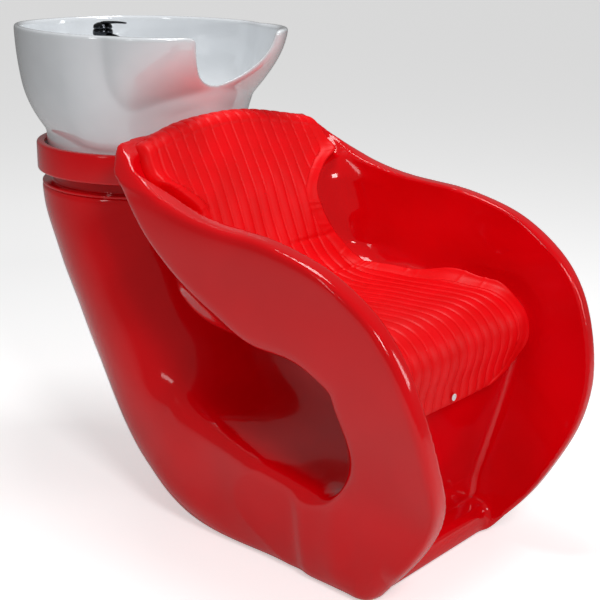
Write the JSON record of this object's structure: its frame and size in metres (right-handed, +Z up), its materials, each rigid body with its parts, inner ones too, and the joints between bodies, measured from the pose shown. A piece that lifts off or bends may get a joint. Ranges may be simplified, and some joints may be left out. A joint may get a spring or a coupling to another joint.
{
  "type": "shampoo backwash unit",
  "caption": "Salon backwash chair: leaning gloss shell with armrest loops, ribbed seat pad, and a tilting ceramic basin with lever mixer on the column.",
  "frame": {"origin": "on the floor, at the centre of the steel floor plate", "axes": "+Z up, -Y towards the front of the seat, +Y towards the basin, X across"},
  "size_m": [0.6106, 1.301, 0.984],
  "materials": {
    "red_gelcoat": "high-gloss gelcoat on glass fibre",
    "red_vinyl": "satin upholstery vinyl",
    "chrome": "polished",
    "zinc_steel": "zinc plated",
    "grey_rubber": "matt",
    "white_ceramic": "glazed",
    "black_plastic": "satin",
    "black_chrome": "polished dark chrome",
    "brass": "plain"
  },
  "bodies": {
    "stand": {"pedestal_shell": "red_gelcoat", "right_side_panel": "red_gelcoat", "left_side_panel": "red_gelcoat", "seat_shell": "red_gelcoat", "column_neck": "red_gelcoat", "seat_pad": "red_vinyl", "pad_stud": "chrome", "floor_plate": "zinc_steel", "support_post": "zinc_steel", "head_plate": "zinc_steel", "left_hinge_ear": "zinc_steel", "right_hinge_ear": "zinc_steel", "hinge_pin": "zinc_steel", "pin_clips": "zinc_steel"},
    "basin": {"ceramic_basin": "white_ceramic", "collar_ring": "red_gelcoat", "tilt_bar": "zinc_steel", "tilt_knuckle": "zinc_steel", "tilt_bar_bolts": "zinc_steel", "basin_gasket": "grey_rubber", "waste_fitting": "chrome", "waste_nut": "black_plastic", "mixer_base": "black_chrome", "mixer_body": "black_chrome", "mixer_spout": "black_chrome", "mixer_nut": "brass", "hot_inlet_tail": "brass", "cold_inlet_tail": "brass"},
    "lever_hub": {"lever_hub": "black_chrome", "lever_pin": "zinc_steel"},
    "lever": {"mixer_lever": "black_chrome"},
    "strainer": {"hair_strainer": "chrome"}
  },
  "joints": [
    {"name": "basin_tilt", "type": "hinge", "parent": "stand", "child": "basin", "pos_m": [0, 0.5, 0.668], "axis": [-1, 0, 0], "range_deg": [0, 4]},
    {"name": "lever_turn", "type": "hinge", "parent": "basin", "child": "lever_hub", "pos_m": [0.03, 0.662, 0.968], "axis": [0, 0, 1], "range_deg": [-40, 40]},
    {"name": "lever_lift", "type": "hinge", "parent": "lever_hub", "child": "lever", "pos_m": [0.03, 0.659, 0.972], "axis": [-1, 0, 0], "range_deg": [0, 16]},
    {"name": "strainer_lift", "type": "slide", "parent": "basin", "child": "strainer", "axis": [0, 0, 1], "range_m": [0, 0.12]}
  ]
}
